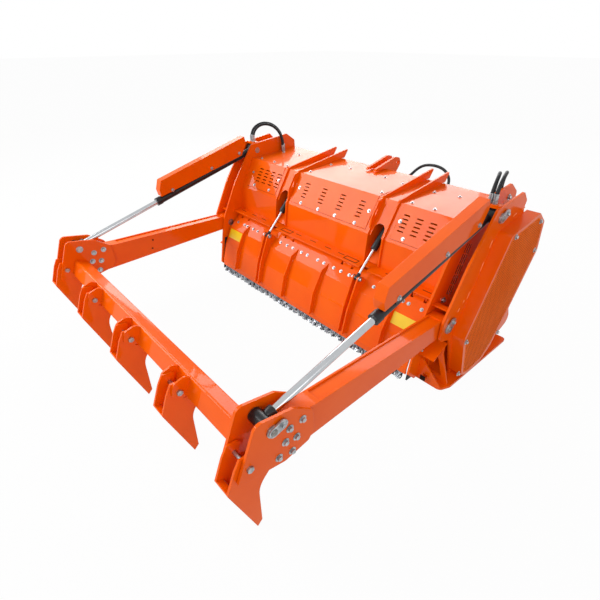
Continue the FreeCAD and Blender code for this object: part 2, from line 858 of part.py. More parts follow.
def frame_pins():
    """Rod pin ends in the brackets and the claw bolts."""
    shapes = []
    outer = rod_x(rod_pin, base_pin_r, outer_in, outer_out + flag_t)
    head = rod_x(rod_pin, base_pin_r + 6, outer_out, outer_out + flag_t)
    flag = oblong(rod_pin, 15, 48, 26, outer_out + flag_t, outer_out + 2 * flag_t)
    shapes += both_ends(fuse([outer, head, flag]))
    shapes += both_ends(rod_x(rod_pin, base_pin_r, inner_in - 2, inner_out))
    for x in claw_xs:
        middle = abs(x) < bay_mid - 1
        reach = lug_span / 2 if middle else bay_gap / 2 + plate_t
        shapes.append(fuse([
            rod_x(claw_bolt, claw_bolt_r, x - reach - 12, x + reach + 12),
            hex_rod(claw_bolt, 30, x + reach, x + reach + 12),
            hex_rod(claw_bolt, 30, x - reach - 12, x - reach),
        ]))
    return shapes


# Bolted service covers over the hood sections
cover_xs = [(-1020.0, -620.0), (-400.0, 400.0), (620.0, 1020.0)]
lid_t = 3.0


def service_covers():
    (y1, z1), (y2, z2), (y3, z3) = hood_line[1:]
    low = (y1 + 0.09 * (y2 - y1), z1 + 0.09 * (z2 - z1))
    high = (y2 + 0.7 * (y3 - y2), z2 + 0.7 * (z3 - z2))
    lids = []
    for (x0, x1), columns in zip(cover_xs, louvre_xs.values()):
        lid = sheet_x([low, (y2, z2), high], lid_t, x0, x1)
        wide, tall = louvre_slot
        for x in columns:
            for k in range(louvre_rows):
                s = louvre_start + k * louvre_pitch
                lid = lid.cut(slope_cutter(x - wide / 2, x + wide / 2, s - tall / 2,
                                           s + tall / 2))
        lids.append(lid)
    return lids


def side_flaps():
    strip = plate_x([(1348, 24), (1460, 24), (1460, 330), (1392, 330)], inner_in - 10, inner_in)
    return both_ends(strip)


# Hoses: routes in x, y, z from the claw bolts' line, the pairs over the side
# plates for the right side and mirrored for the left
hose_d = 22.0
port_low = 1122.0
port_high = 1142.0
hose_routes = {
    "outer": [
        (1178, 1830, port_high), (1178, 1830, 1192), (1176, 1852, 1246), (1164, 1908, 1283),
        (1144, 1976, 1291), (1114, 2042, 1268), (1086, 2090, 1214), (1075, 2114, 1147),
        (1073.5, 2124, 1085), (1073, 2127, 1035.5),
    ],
    "inner": [
        (1150, 1830, port_high), (1150, 1830, 1190), (1147, 1850, 1240), (1134, 1900, 1278),
        (1110, 1962, 1284), (1082, 2024, 1258), (1058, 2068, 1204), (1046, 2088, 1139),
        (1044.5, 2092, 1080), (1044.5, 2093, 1033.5),
    ],
}
rear_hose_route = [
    (212, 2292, 996), (212.5, 2340, 996), (222, 2386, 1018), (244, 2414, 1058),
    (290, 2428, 1096), (350, 2432, 1116), (412, 2432, 1119), (474, 2428, 1100),
    (524, 2414, 1064), (556, 2386, 1022), (572, 2340, 997), (572.5, 2292, 997),
]


def hose_ports():
    """Cross block over each push cylinder's base eye that the hoses screw into."""
    block = box(inner_out, outer_in, 1808, 1852, port_low, port_high)
    stop = box(inner_out, outer_in, 1470, 1510, 568, 578)
    return both_ends(block) + both_ends(stop)


def hose(points, d):
    """Tube along straight runs joined by tangent arcs."""
    spots = [V(*p) for p in points]
    edges = []
    start = spots[0]
    for i in range(1, len(spots) - 1):
        a = spots[i - 1] - spots[i]
        b = spots[i + 1] - spots[i]
        turn = math.pi - a.getAngle(b)
        cut = 0.45 * min(a.Length, b.Length)
        r = cut / math.tan(turn / 2)
        print("  bend radius", round(r))
        a.normalize()
        b.normalize()
        p = spots[i] + a * cut
        q = spots[i] + b * cut
        mid = a + b
        mid.normalize()
        on = spots[i] + mid * (r / math.cos(turn / 2) - r)
        edges.append(Part.LineSegment(start, p).toShape())
        edges.append(Part.Arc(p, on, q).toShape())
        start = q
    edges.append(Part.LineSegment(start, spots[-1]).toShape())
    path = Part.Wire(edges)
    ring = Part.Wire(Part.makeCircle(d / 2, spots[0], spots[1] - spots[0]))
    tube = path.makePipeShell([ring], True, True)
    print("  hose", round(path.Length), round(tube.Volume / (math.pi * d * d / 4)))
    return tube


for side, name in SIDES:
    save("bracket_" + name, bracket(side))
    save("arm_" + name, arm(side))
    save("push_barrel_" + name, push_barrel(side))
    save("cylinder_cover_" + name, cylinder_cover(side))
    save("push_rod_" + name, push_rod(side))
    save("side_plate_inner_" + name, side_plate(inner_plate_outline, inner_in, side))
    save("side_plate_outer_" + name, side_plate(outer_plate_outline, outer_in, side))
    save("drive_guard_" + name, drive_guard(side))
    save("skid_" + name, skid(side))
    save("hood_ribs_" + name, hood_ribs(side))
    save("door_barrel_" + name, door_barrel(side))
    save("door_rod_" + name, door_rod(side))

save("cross_tube", cross_tube())
save("claws", [claw(x) for x in claw_xs])
save("hood_left", hood_section("left", -inner_in, -rib_out))
save("hood_middle", hood_section("middle", -rib_in, rib_in))
save("hood_right", hood_section("right", rib_out, inner_in))
save("hinge_beam", hinge_beam())
save("door_panel", door_panel())
save("door_chains", chain_curtain(1368, 97, 8, drum_half, 40, 41))
save("rotor_drum", rotor_drum())
save("rotor_teeth", rotor_teeth())
save("rotor_bearings", rotor_bearings())
save("chamber_wall", chamber_wall())
save("rear_beam", rear_beam())
save("lower_hitch", lower_hitch_side(-1) + lower_hitch_side(1))
save("top_link_mast", top_link_mast())
save("cross_shaft", cross_shaft())
save("gearbox", gearbox())
save("input_shaft", input_shaft())
save("pivot_pins", pivot_pins())
save("frame_pins", frame_pins())
save("service_covers", service_covers())
save("side_flaps", side_flaps())
save("bay_blocks", hose_ports())
save("rear_chains", chain_curtain(beam_y + 12, 160, 34, drum_half, 48, 40))
right_hoses = [hose(route, hose_d) for route in hose_routes.values()]
save("hoses", right_hoses + [flip(h) for h in right_hoses] + [hose(rear_hose_route, hose_d)])
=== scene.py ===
import bpy
from mathutils import Matrix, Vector
import json
import math
import numpy as np


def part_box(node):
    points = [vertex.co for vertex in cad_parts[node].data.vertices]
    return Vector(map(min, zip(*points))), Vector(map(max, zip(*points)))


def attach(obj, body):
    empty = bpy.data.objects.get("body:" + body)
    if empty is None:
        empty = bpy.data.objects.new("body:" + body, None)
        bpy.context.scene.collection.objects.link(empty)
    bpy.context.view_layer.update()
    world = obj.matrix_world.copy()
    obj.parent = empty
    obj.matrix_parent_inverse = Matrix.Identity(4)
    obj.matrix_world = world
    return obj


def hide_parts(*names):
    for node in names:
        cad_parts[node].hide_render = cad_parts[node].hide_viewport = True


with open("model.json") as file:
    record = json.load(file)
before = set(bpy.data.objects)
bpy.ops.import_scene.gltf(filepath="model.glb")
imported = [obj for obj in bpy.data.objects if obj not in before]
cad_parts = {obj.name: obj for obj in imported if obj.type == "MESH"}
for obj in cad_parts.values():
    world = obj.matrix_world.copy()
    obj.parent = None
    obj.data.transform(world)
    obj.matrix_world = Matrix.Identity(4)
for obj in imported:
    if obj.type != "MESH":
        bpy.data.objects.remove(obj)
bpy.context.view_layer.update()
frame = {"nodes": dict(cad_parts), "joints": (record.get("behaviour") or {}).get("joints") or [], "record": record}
nodes = frame["nodes"]
scene = bpy.context.scene
print("frame loaded:", len(nodes), "nodes")


# Sizes shared by the whole machine, in metres
def jointPos(name):
    for joint in frame["joints"]:
        if joint["name"] == name:
            return np.array(joint["pos_m"])


# Pins as (y, z) in millimetres, y back from the claw bolts
armPivotMm = (1475.5, 464)
basePinMm = (1829, 1072)
rodPinMm = (123, 595)
doorEyeMm = (1462, 516)

basePin = jointPos("push_cylinder_swing_right")
doorBase = jointPos("door_cylinder_swing_right")
clawLine = jointPos("push_frame_lift")[1] - armPivotMm[0] / 1000   # y of the claw bolts
bayMid = basePin[0]                  # x of the middle between the side plates
plateThick = 0.015                   # of a side plate
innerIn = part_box("side_plate_inner_right")[0].x
innerOut = innerIn + plateThick
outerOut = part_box("side_plate_outer_right")[1].x
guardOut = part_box("drive_guard_right")[1].x
sides = ((-1, "left"), (1, "right"))


def at(x, y, z):
    """A point from millimetres: x across, y back from the claw bolts, z up."""
    return np.array([x / 1000, y / 1000 + clawLine, z / 1000])


def onPlane(x, y, z):
    """A point on the upright plane at x metres, with y and z as at takes them."""
    return at(0, y, z) + [x, 0, 0]


# Materials
def linear(hexCode):
    """sRGB hex to the linear colour that the shader takes."""
    values = [int(hexCode[i:i + 2], 16) / 255 for i in (1, 3, 5)]
    values = [v / 12.92 if v <= 0.04045 else ((v + 0.055) / 1.055) ** 2.4 for v in values]
    return (*values, 1.0)


def addNode(tree, kind, settings=None, links=None):
    """One node, with its settings by socket or attribute name and its links by socket."""
    node = tree.nodes.new(kind)
    for key, value in (settings or {}).items():
        if isinstance(key, int) or key in node.inputs:
            node.inputs[key].default_value = value
        else:
            setattr(node, key, value)
    for key, source in (links or {}).items():
        tree.links.new(source, node.inputs[key])
    return node


def newMaterial(name, settings):
    material = bpy.data.materials.new(name)
    material.use_nodes = True
    tree = material.node_tree
    tree.nodes.clear()
    shader = addNode(tree, "ShaderNodeBsdfPrincipled", settings)
    output = addNode(tree, "ShaderNodeOutputMaterial", {}, {"Surface": shader.outputs[0]})
    place = addNode(tree, "ShaderNodeTexCoord").outputs["Object"]
    return material, tree, shader, place


def noise(tree, place, size, detail=2.0, rough=0.5):
    """Noise whose blotches are about size metres across, from 0 to 1."""
    node = addNode(tree, "ShaderNodeTexNoise",
                   {"Scale": 1 / size, "Detail": detail, "Roughness": rough}, {"Vector": place})
    return node.outputs["Fac"]


def spread(tree, value, low, high, start=0.3, end=0.7):
    """Stretches a value between start and end over low to high."""
    node = addNode(tree, "ShaderNodeMapRange",
                   {"From Min": start, "From Max": end, "To Min": low, "To Max": high},
                   {"Value": value})
    return node.outputs["Result"]


def blendColours(tree, factor, first, second):
    node = addNode(tree, "ShaderNodeMix", {"data_type": "RGBA"}, {0: factor})
    node.inputs[6].default_value = linear(first)
    node.inputs[7].default_value = linear(second)
    return node.outputs[2]


# Baked orange enamel over steel: sprayed, so it has faint orange peel and pools a
# little darker in the film; the coat gives the wet shine.
enamelLook = {
    "colour": "#F46200", "deep": "#EE5A00", "peelMm": 9.0, "filmMm": 260.0, "bevelMm": 2.5,
    "coat": 0.4, "ior": 1.12,
}
sheetLook = {**enamelLook, "colour": "#F8701C", "deep": "#F06614", "coat": 0.0, "ior": 1.04}
# Plug welds: the same enamel painted paler, a painted highlight where the light catches the beads
weldPaintedHighlightLook = {**enamelLook, "colour": "#FF9258", "deep": "#FF7A3C"}


def orangeEnamel(name, look):
    material, tree, shader, place = newMaterial(name, {
        "IOR": look["ior"], "Coat Weight": look["coat"], "Coat Roughness": 0.05,
        "Coat IOR": 1.4,
    })
    film = noise(tree, place, look["filmMm"] / 1000, 3.0)
    colour = blendColours(tree, spread(tree, film, 0.0, 1.0), look["colour"], look["deep"])
    tree.links.new(colour, shader.inputs["Base Color"])
    tree.links.new(spread(tree, film, 0.3, 0.42), shader.inputs["Roughness"])
    corner = addNode(tree, "ShaderNodeBevel", {"Radius": look["bevelMm"] / 1000, "samples": 4})
    peel = addNode(tree, "ShaderNodeBump", {"Strength": 0.06, "Distance": 0.001},
                   {"Height": noise(tree, place, look["peelMm"] / 1000, 1.0),
                    "Normal": corner.outputs[0]})
    tree.links.new(peel.outputs[0], shader.inputs["Normal"])
    tree.links.new(corner.outputs[0], shader.inputs["Coat Normal"])
    return material


def satinBlack(name):
    """Satin black air-dried enamel on cylinders and castings."""
    material, tree, shader, place = newMaterial(name, {"IOR": 1.36, "Coat Weight": 0.15,
                                                       "Coat Roughness": 0.15})
    dust = noise(tree, place, 0.12, 4.0)
    colour = blendColours(tree, spread(tree, dust, 0.0, 1.0), "#0E0F12", "#17191D")
    tree.links.new(colour, shader.inputs["Base Color"])
    tree.links.new(spread(tree, dust, 0.28, 0.45), shader.inputs["Roughness"])
    bump = addNode(tree, "ShaderNodeBump", {"Strength": 0.05, "Distance": 0.0008},
                   {"Height": noise(tree, place, 0.004, 2.0)})
    tree.links.new(bump.outputs[0], shader.inputs["Normal"])
    return material


def hardChrome(name):
    """Ground and hard-chromed rod, with a trace of the grinding across its length."""
    material, tree, shader, place = newMaterial(name, {"Metallic": 1.0})
    film = noise(tree, place, 0.05, 3.0)
    colour = blendColours(tree, film, "#C9CBCD", "#AEB2B6")
    tree.links.new(colour, shader.inputs["Base Color"])
    tree.links.new(spread(tree, film, 0.1, 0.18), shader.inputs["Roughness"])
    return material


def steel(name, bright, dark, roughLow, roughHigh, grainMm):
    """Bare or plated steel: bright metal with a duller film in patches."""
    material, tree, shader, place = newMaterial(name, {"Metallic": 1.0})
    film = noise(tree, place, grainMm / 1000 * 8, 4.0)
    colour = blendColours(tree, spread(tree, film, 0.0, 1.0), bright, dark)
    tree.links.new(colour, shader.inputs["Base Color"])
    tree.links.new(spread(tree, film, roughLow, roughHigh), shader.inputs["Roughness"])
    bump = addNode(tree, "ShaderNodeBump", {"Strength": 0.12, "Distance": 0.0006},
                   {"Height": noise(tree, place, grainMm / 1000, 3.0)})
    tree.links.new(bump.outputs[0], shader.inputs["Normal"])
    return material


def hoseRubber(name):
    """Nitrile hose cover: dull black with a fine cloth print."""
    material, tree, shader, place = newMaterial(name, {"IOR": 1.36, "Sheen Weight": 0.08,
                                                       "Sheen Roughness": 0.5})
    bloom = noise(tree, place, 0.03, 4.0)
    colour = blendColours(tree, spread(tree, bloom, 0.0, 1.0), "#0C0D10", "#16181C")
    tree.links.new(colour, shader.inputs["Base Color"])
    tree.links.new(spread(tree, bloom, 0.48, 0.66), shader.inputs["Roughness"])
    bump = addNode(tree, "ShaderNodeBump", {"Strength": 0.2, "Distance": 0.0006},
                   {"Height": noise(tree, place, 0.003, 2.0)})
    tree.links.new(bump.outputs[0], shader.inputs["Normal"])
    return material


def labelFilm(name, colourA, colourB):
    """Printed vinyl film under a clear laminate."""
    material, tree, shader, place = newMaterial(name, {"Roughness": 0.32, "IOR": 1.46,
                                                       "Coat Weight": 0.4,
                                                       "Coat Roughness": 0.12})
    fade = noise(tree, place, 0.06, 2.0)
    tree.links.new(blendColours(tree, fade, colourA, colourB), shader.inputs["Base Color"])
    return material


def darkGap(name, colourA, colourB):
    """The unlit inside behind a slot or a seam."""
    material, tree, shader, place = newMaterial(name, {"Roughness": 0.9, "IOR": 1.3})
    soot = noise(tree, place, 0.02, 2.0)
    tree.links.new(blendColours(tree, soot, colourA, colourB), shader.inputs["Base Color"])
    return material


enamel = orangeEnamel("orangeBakedEnamel", enamelLook)
sheetEnamel = orangeEnamel("orangePerforatedSheet", sheetLook)
weldPaintedHighlightEnamel = orangeEnamel("orangeWeldPaintedHighlight", weldPaintedHighlightLook)
blackPaint = satinBlack("satinBlackEnamel")
chrome = hardChrome("hardChrome")
zinc = steel("brightZincPlate", "#BFC2C4", "#8F9295", 0.26, 0.45, 2.0)
bareSteel = steel("machinedSteel", "#9A9793", "#74706B", 0.3, 0.5, 1.5)
chainSteel = steel("brightChainSteel", "#D2D7DD", "#6E747C", 0.22, 0.4, 6.0)
# Back rows of chain: the chain steel painted darker, as painted shade between the rows
backRowShadeSteel = steel("chainSteelPaintedShade", "#4A4E54", "#26292E", 0.3, 0.5, 6.0)
toothSteel = steel("hardenedToothSteel", "#6E6A66", "#46423E", 0.4, 0.6, 4.0)
rubber = hoseRubber("nitrileHoseRubber")
yellowFilm = labelFilm("yellowVinylFilm", "#F2D41C", "#E9C814")
slotDark = darkGap("slotShadow", "#1A0C05", "#2A1206")
seamShade = darkGap("seamShadow", "#A93A06", "#8E2F04")
holeShade = darkGap("holeShadow", "#8A2E06", "#742404")

finishes = {
    "orange enamel": enamel, "black enamel": blackPaint, "chrome rod": chrome,
    "black rubber": rubber, "bare steel": bareSteel, "zinc steel": zinc,
    "chain steel": chainSteel, "tool steel": toothSteel,
}
for part in frame["record"]["subparts"]:
    mesh = nodes[part["node"]].data
    mesh.materials.clear()
    mesh.materials.append(finishes[part["material_slot"]])
print("materials set on the frame")


# Meshes from arrays
def newPiece(name, points, faces, material, body, slot=None, smooth=True):
    mesh = bpy.data.meshes.new(name)
    mesh.from_pydata(np.asarray(points).tolist(), [], [tuple(f) for f in faces])
    mesh.update()
    mesh.polygons.foreach_set("use_smooth", [smooth] * len(mesh.polygons))
    mesh.materials.append(material)
    piece = bpy.data.objects.new(name, mesh)
    scene.collection.objects.link(piece)
    if smooth:
        mesh.set_sharp_from_angle(angle=math.radians(35))
    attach(piece, body)
    return piece


def gridFaces(rows, columns, closed):
    """Quads of a rows by columns grid of points, its columns joined round if closed."""
    last = columns if closed else columns - 1
    i, j = np.meshgrid(np.arange(rows - 1), np.arange(last), indexing="ij")
    k = (j + 1) % columns
    return np.stack([i * columns + j, i * columns + k,
                     (i + 1) * columns + k, (i + 1) * columns + j], -1).reshape(-1, 4)


def turned(profile, count):
    """A profile of (radius, height) pairs turned round z: x = r cos a, y = r sin a.
    A profile that starts and ends at radius 0 closes itself."""
    profile = np.asarray(profile, float)
    angle = np.arange(count) * 2 * np.pi / count
    r, h = profile[:, 0][:, None], profile[:, 1][:, None]
    points = np.stack([r * np.cos(angle), r * np.sin(angle), h + 0 * angle], -1)
    return points.reshape(-1, 3), gridFaces(len(profile), count, True)


def faced(normal):
    """Three columns: two across and the last along the normal."""
    n = np.asarray(normal, float)
    n = n / np.linalg.norm(n)
    u = np.cross([0.0, 0, 1] if abs(n[2]) < 0.9 else [0.0, 1, 0], n)
    u = u / np.linalg.norm(u)
    return np.stack([u, np.cross(n, u), n], 1)


def scatter(shape, places):
    """Copies of one shape: each place is (point, normal, scale) and its points are
    shape @ axes * scale + point, stacked into one mesh."""
    points, faces = shape
    allPoints, allFaces = [], []
    for k, (point, normal, scale) in enumerate(places):
        allPoints.append(points * scale @ faced(normal).T + point)
        allFaces.append(np.asarray(faces) + k * len(points))
    return np.concatenate(allPoints), np.concatenate(allFaces)


print("mesh tools ready")


# Panels of sheet that small things sit on. Each is the (y, z) of its lower and upper
# edge in mm; it faces forward and up.
panels = {
    "front": ((1612, 580), (1630, 780)), "slope": ((1630, 780), (1769, 1012)),
    "roof": ((1769, 1012), (2279, 1044)), "ledge": ((1520, 574), (1612, 580)),
    "doorTop": ((1456, 423), (1548, 509)), "doorMiddle": ((1389, 278), (1456, 423)),
    "doorLow": ((1346, 110), (1389, 278)),
}
lidThick = 3.0


def onPanel(name, x, up, lift=0.0):
    """The point x across and up mm from the panel's lower edge, lift mm off its face,
    and the way the panel faces."""
    low, high = (np.array(p, float) for p in panels[name])
    run = (high - low) / np.linalg.norm(high - low)
    out = np.array([-run[1], run[0]])
    y, z = low + run * up + out * lift
    return at(x, y, z), np.array([0, *out])


# Hex bolts. Each is one turned shape, a washer and a head on six sides with a
# chamfered top, for a wrench size of 1; it is scaled by its own wrench size in metres.
boltShape = {"washerR": 0.92, "washerT": 0.13, "headH": 0.58, "chamfer": 0.1}
wrench = {"frame": 0.022, "wall": 0.019, "screw": 0.017, "flange": 0.016, "lid": 0.014}


def boltMesh(look):
    r = 1 / math.sqrt(3)
    top = look["washerT"] + look["headH"]
    washer = turned([(0, 0), (look["washerR"], 0), (look["washerR"], look["washerT"]),
                     (0, look["washerT"])], 18)
    head = turned([(0, look["washerT"]), (r, look["washerT"]), (r, top - look["chamfer"]),
                   (r - look["chamfer"], top), (0, top)], 6)
    return (np.concatenate([washer[0], head[0]]),
            np.concatenate([washer[1], head[1] + len(washer[0])]))


bolt = boltMesh(boltShape)


def mirrored(places):
    flip = np.array([-1, 1, 1])
    return [(p * flip, np.asarray(n) * flip, s) for p, n, s in places]


xPlus = np.array([1.0, 0, 0])


def boltPiece(name, places, body):
    newPiece(name, *scatter(bolt, places), zinc, body, "zinc steel")


# Push frame: six arm bolts a side through both bracket plates, seen on each face
armBolts = [(290, 544), (216, 539), (254, 460), (190, 474), (228, 388), (152, 404)]
frameBolts = []
for y, z in armBolts:
    frameBolts.append((onPlane(outerOut, y, z), xPlus, wrench["frame"]))
    frameBolts.append((onPlane(innerIn, y, z), -xPlus, wrench["frame"]))
boltPiece("armBolts", frameBolts + mirrored(frameBolts), "push_frame")

# Lids: (panel, x, up) round the middle and the right lid; the left one is mirrored
lidBolts = [
    ("slope", -291, 40), ("slope", -91, 40), ("slope", 91, 40), ("slope", 291, 40),
    ("slope", -369, 152), ("slope", 369, 152), ("roof", -372, 60), ("roof", 372, 60),
    ("roof", -372, 300), ("roof", 372, 300), ("roof", -180, 335), ("roof", 180, 335),
    ("slope", 715, 48), ("slope", 925, 48), ("slope", 640, 152), ("slope", 1000, 152),
    ("roof", 645, 40), ("roof", 820, 40), ("roof", 1000, 40), ("roof", 645, 300),
    ("roof", 1000, 300), ("roof", 820, 335),
]
lidPlaces = [(*onPanel(name, x, up, lidThick), wrench["lid"]) for name, x, up in lidBolts]
sideLidFrom = 0.6
lidPlaces += mirrored([place for place in lidPlaces if place[0][0] > sideLidFrom])
boltPiece("lidBolts", lidPlaces, "mulcher")

# Door: a row under its top fold
doorBoltXs = [236, 310, 393, 625, 718, 784, 876, 920, 1020, 60, 130]
doorBoltUp = 76
doorPlaces = [(*onPanel("doorTop", x, doorBoltUp), wrench["lid"]) for x in doorBoltXs]
boltPiece("doorBolts", doorPlaces + mirrored(doorPlaces), "door")

# Drive guard: bolts through its rim
guardBolts = [(1895, 964), (2274, 763), (1575, 357), (2050, 203), (1575, 101), (2225, 975)]
guardPlaces = [(onPlane(guardOut, y, z), xPlus, wrench["wall"]) for y, z in guardBolts]
boltPiece("guardBolts", guardPlaces + mirrored(guardPlaces), "mulcher")

# Inner side plates and skids
plateBolts = [(1591, 558), (1440, 240), (2180, 1090), (2200, 300)]
platePlaces = [(onPlane(innerOut, y, z), xPlus, wrench["frame"]) for y, z in plateBolts]
platePlaces.append((at(1180, 1500, 16), (0, 0, 1), wrench["frame"]))
boltPiece("plateBolts", platePlaces + mirrored(platePlaces), "mulcher")
print("bolts made")


# Flat strips and plates on the panels. Each strip is a thin block, lift mm off its
# panel and thick mm deep.
blockFaces = np.array([(3, 2, 1, 0), (4, 5, 6, 7), (0, 1, 5, 4), (1, 2, 6, 5), (2, 3, 7, 6),
                       (3, 0, 4, 7)])
labelFit = {"lift": 0.1, "thick": 0.6}
slitFit = {"lift": 0.05, "thick": 0.2}
seamFit = {"lift": 0.1, "thick": 0.5}


def stripMesh(fit, name, x0, x1, up0, up1):
    """Thin block on a panel, from x0 to x1 mm and up0 to up1 mm."""
    corners = [onPanel(name, x, up, fit["lift"] + t)[0] for t in (0, fit["thick"])
               for x, up in ((x0, up0), (x1, up0), (x1, up1), (x0, up1))]
    return np.array(corners), blockFaces


def blockMesh(low, high):
    """Block between two corners."""
    x, y, z = zip(low, high)
    points = [(x[i], y[j], z[k]) for k in (0, 1) for i, j in ((0, 0), (1, 0), (1, 1), (0, 1))]
    return np.array(points), blockFaces


def joined(meshes):
    """Several meshes stacked into one."""
    points, faces, count = [], [], 0
    for p, f in meshes:
        points.append(p)
        faces.extend([[int(i) + count for i in face] for face in f])
        count += len(p)
    return np.concatenate(points), faces


# Blank labels on the door's ends: panel, x0, x1, up0, up1
labels = [("doorMiddle", 860, 1030, 68, 152), ("doorMiddle", -1062, -862, 68, 152)]
newPiece("blankLabels", *joined([stripMesh(labelFit, *label) for label in labels]),
         yellowFilm, "door", smooth=False)

# Tab joints of the ledge: dark slits where plates lock through it
slitXs = (-1000, -840, -700, -230, -60, 110, 250, 700, 840, 1000)
slitHalf = 32
slits = [stripMesh(slitFit, "ledge", x - slitHalf, x + slitHalf, 50, 56) for x in slitXs]
# A frame of four slits each side of the middle: x0, x1, up0, up1 of each
frameBars = ((300, 425, 16, 23), (300, 425, 56, 62), (300, 307, 16, 62), (419, 425, 16, 62))
for side in (-1, 1):
    for x0, x1, up0, up1 in frameBars:
        slits.append(stripMesh(slitFit, "ledge", *sorted((side * x0, side * x1)), up0, up1))
newPiece("ledgeSlits", *joined(slits), slotDark, "mulcher", smooth=False)
print("strips made")


# Chains. A link is two straight sides and two half rings: its centre line is a
# stadium, and its points lie on a small circle swept round it. Sizes in mm; those of
# the rail that carries the strands are in metres.
chainLook = {"wire": 3.7, "half": 7.0, "straight": 15.0, "round": 6, "along": 12}
railLook = {"deep": 0.016, "trim": 0.002, "firstLink": 0.011}


def linkMesh(look):
    """Stadium centre line c(t), swept with radius wire: c + wire (cos b out + sin b y)."""
    t = np.arange(look["along"]) / look["along"] * 2 * np.pi
    out = np.stack([np.cos(t), 0 * t, np.sin(t)], 1)
    centre = out * look["half"] + np.stack([0 * t, 0 * t, np.sign(np.round(np.sin(t), 6))
                                            * look["straight"] / 2], 1)
    b = np.arange(look["round"]) / look["round"] * 2 * np.pi
    ring = (centre[:, None] + look["wire"] * (np.cos(b)[None, :, None] * out[:, None]
            + np.sin(b)[None, :, None] * np.array([0, 1.0, 0])))
    points = np.concatenate([ring, ring[:1]]).reshape(-1, 3)
    return points / 1000, gridFaces(look["along"] + 1, look["round"], True)


def chainRow(look, y, top, links, pitch, half, start, lean):
    """Strands hung side by side, each link turned a quarter from the one over it. A
    strand leans forward by lean a link, more or less from strand to strand."""
    shape, faces = linkMesh(look)
    turned90 = shape[:, [1, 0, 2]]
    step = look["straight"] + 2 * look["half"] - 2 * look["wire"]
    points, allFaces, count = [], [], 0
    for i, x in enumerate(np.arange(-half + start, half - look["half"], pitch)):
        own = lean * (0.6 + 0.5 * math.sin(1.9 * i) + 0.4 * math.sin(0.31 * i))
        place = np.array([x, y, top])
        for k in range(links):
            tip = own * k
            down = np.array([0.12 * math.sin(2.3 * i + 1.7 * k), -math.sin(tip), -math.cos(tip)])
            link = shape if (k + i) % 2 else turned90
            turnX = np.array([[1, 0, 0], [0, math.cos(tip), math.sin(tip)],
                              [0, -math.sin(tip), math.cos(tip)]])
            points.append(link @ turnX.T + at(*(place + down * step / 2)))
            place = place + down * step
            allFaces.append(faces + count)
            count += len(link)
    return np.concatenate(points), np.concatenate(allFaces)


def railMesh(node):
    """The bar that a curtain hangs from: the top of its CAD node's box."""
    low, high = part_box(node)
    trim = railLook["trim"]
    return blockMesh((low.x, low.y + trim, high.z - railLook["deep"]),
                     (high.x, high.y - trim, high.z))


def curtain(node, name, body, pitch, links, lean, out):
    """Links in the place of a CAD curtain: a bright row on its outer side, which is out
    mm off its middle, and a row inside in steel painted dark, as painted shade behind the bright row."""
    low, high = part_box(node)
    middle = ((low.y + high.y) / 2 - clawLine) * 1000
    top = (high.z - railLook["firstLink"]) * 1000
    start = 4
    front = chainRow(chainLook, middle + out, top, links, pitch, high.x * 1000, start, lean)
    start += pitch / 2
    back = chainRow(chainLook, middle - out, top, links, pitch, high.x * 1000, start, lean)
    piece = newPiece(name, *joined([front, railMesh(node)]), chainSteel, body, "chain steel")
    newPiece(name + "Back", *back, backRowShadeSteel, body, "chain steel")
    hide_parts(node)


curtain("door_chains", "doorChainLinks", "door", pitch=19, links=4, lean=0.22, out=-5)
curtain("rear_chains", "rearChainLinks", "mulcher", pitch=26, links=6, lean=0.0, out=5)
print("chains made")


# Perforated face of the drive guard: a thin matte sheet, with holes on a triangular
# grid inside an outline in y and z, in mm. A hole is shown as a dark disc on six sides.
guardSheet = {
    "outline": [(2180, 1012), (2272, 948), (2304, 746), (2104, 372), (1970, 146), (1876, 66),
                (1706, 46), (1650, 70), (1570, 384), (1858, 962)],
    "pitch": 16.0, "hole": 4.0, "rim": 9.0,
    "rowShare": 0.866, "gridFrom": (1560, 40), "gridLong": 780, "gridHigh": 1000,
}


def edgeDistance(points, outline):
    """How far each point is from the nearest edge of an outline, negative outside it. A
    point is inside if a ray from it crosses the edges an odd number of times."""
    best = np.full(len(points), 1e9)
    inside = np.zeros(len(points), bool)
    for (ay, az), (by, bz) in zip(outline, outline[1:] + outline[:1]):
        ey, ez = by - ay, bz - az
        t = ((points[:, 0] - ay) * ey + (points[:, 1] - az) * ez) / (ey * ey + ez * ez)
        t = np.clip(t, 0, 1)
        best = np.minimum(best, np.hypot(points[:, 0] - ay - t * ey, points[:, 1] - az - t * ez))
        if ez != 0:
            crosses = (az > points[:, 1]) != (bz > points[:, 1])
            inside ^= crosses & (points[:, 0] < ay + (points[:, 1] - az) / ez * ey)
    return np.where(inside, best, -best)


def holeMesh(look, x):
    """Dark discs over the grid of holes, on the plane at x."""
    step = look["pitch"]
    rise = step * look["rowShare"]
    y, z = look["gridFrom"]
    rows, columns = math.ceil(look["gridHigh"] / rise), int(look["gridLong"] / step)
    grid = np.array([(y + step * (j + 0.5 * (i % 2)), z + rise * i)
                     for i in range(rows) for j in range(columns)])
    grid = grid[edgeDistance(grid, look["outline"]) > look["rim"]]
    angle = np.arange(6) * np.pi / 3
    ring = np.stack([np.cos(angle), np.sin(angle)], 1) * look["hole"]
    spots = (grid[:, None] + ring[None]).reshape(-1, 2)
    points = np.stack([0 * spots[:, 0] + x, spots[:, 0] / 1000 + clawLine,
                       spots[:, 1] / 1000], 1)
    return points, np.arange(len(points)).reshape(-1, 6)


def sheetMesh(outline, x0, x1):
    """The outline, in y and z, as a thin plate between two x values."""
    outline = np.array(outline, float)
    n = len(outline)
    rings = [np.stack([0 * outline[:, 0] + x, outline[:, 0] / 1000 + clawLine,
                       outline[:, 1] / 1000], 1) for x in (x0, x1)]
    k = np.arange(n)
    walls = np.stack([k, (k + 1) % n, (k + 1) % n + n, k + n], 1).tolist()
    return np.concatenate(rings), walls + [k[::-1].tolist(), (k + n).tolist()]


